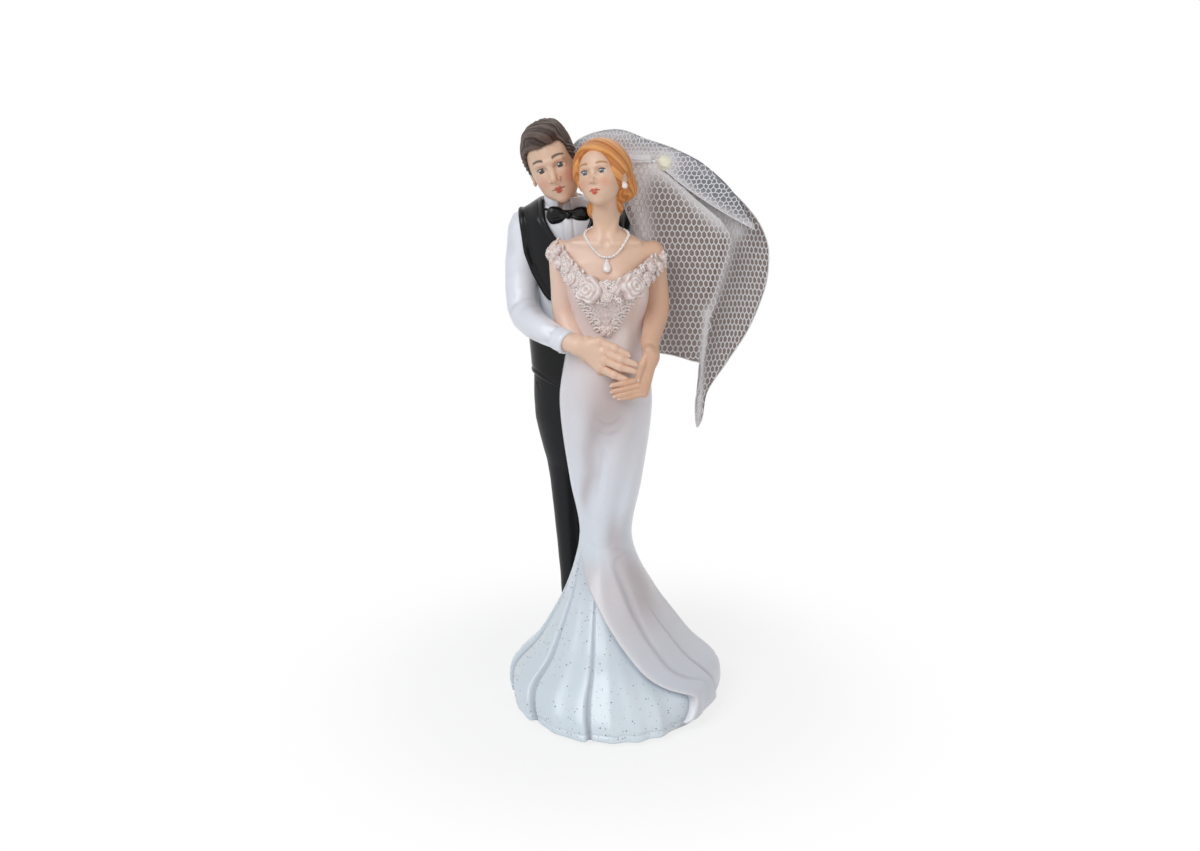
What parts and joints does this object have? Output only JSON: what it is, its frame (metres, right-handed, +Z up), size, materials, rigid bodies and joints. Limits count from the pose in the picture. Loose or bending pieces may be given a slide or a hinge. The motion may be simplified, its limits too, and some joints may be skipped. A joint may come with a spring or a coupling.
{
  "type": "wedding cake topper",
  "caption": "Cast resin wedding cake topper: a groom in vest and bow tie embraces a bride in a mermaid gown, with a tulle veil glued behind her head that swings back.",
  "frame": {"origin": "on the underside of the base plate, below the middle of the bride's skirt", "axes": "+Z up, -Y the way the couple faces, +X to the viewer's right when they face the viewer"},
  "size_m": [0.0721, 0.0667, 0.16],
  "materials": {
    "skin": "hand-painted flesh colour with a satin lacquer",
    "gown": "pearl white with a faint pink cast, satin",
    "glitter_gown": "pearl white with fine silver glitter",
    "lace": "matt blush-white relief",
    "pearl": "glossy pearl paint",
    "copper_hair": "painted copper, satin",
    "brown_hair": "painted dark brown, satin",
    "white_cloth": "painted pearl white, satin",
    "black_cloth": "painted black, semi-gloss",
    "tulle": "stiff white hexagonal net",
    "glue": "dried clear adhesive, slightly yellow",
    "base": "cast resin, unpainted"
  },
  "bodies": {
    "figurine": {"base_plate": "base", "bride_bust": "skin", "bride_head": "skin", "bride_hair": "copper_hair", "bride_left_arm": "skin", "bride_right_arm": "skin", "bride_left_hand": "skin", "bride_right_hand": "skin", "gown_bodice": "gown", "gown_skirt": "glitter_gown", "gown_overskirt": "gown", "lace_collar": "lace", "lace_point": "lace", "necklace": "pearl", "necklace_pendant": "pearl", "earring": "pearl", "groom_head": "skin", "groom_hair": "brown_hair", "groom_shirt": "white_cloth", "groom_collar": "white_cloth", "groom_bow_tie": "black_cloth", "groom_vest": "black_cloth", "groom_right_sleeve": "white_cloth", "groom_right_cuff": "white_cloth", "groom_right_hand": "skin", "groom_left_sleeve": "white_cloth", "groom_left_cuff": "white_cloth", "groom_left_hand": "skin", "groom_trousers": "black_cloth", "groom_right_shoe": "black_cloth", "groom_left_shoe": "black_cloth", "veil_short_tier": "tulle", "veil_gather": "tulle", "veil_glue_dot": "glue"},
    "veil": {"veil_long_tier": "tulle"}
  },
  "joints": [
    {"name": "veil_lift", "type": "hinge", "parent": "figurine", "child": "veil", "pos_m": [0, 0.0094, 0.1493], "axis": [1, 0, 0], "range_deg": [0, 45]}
  ]
}
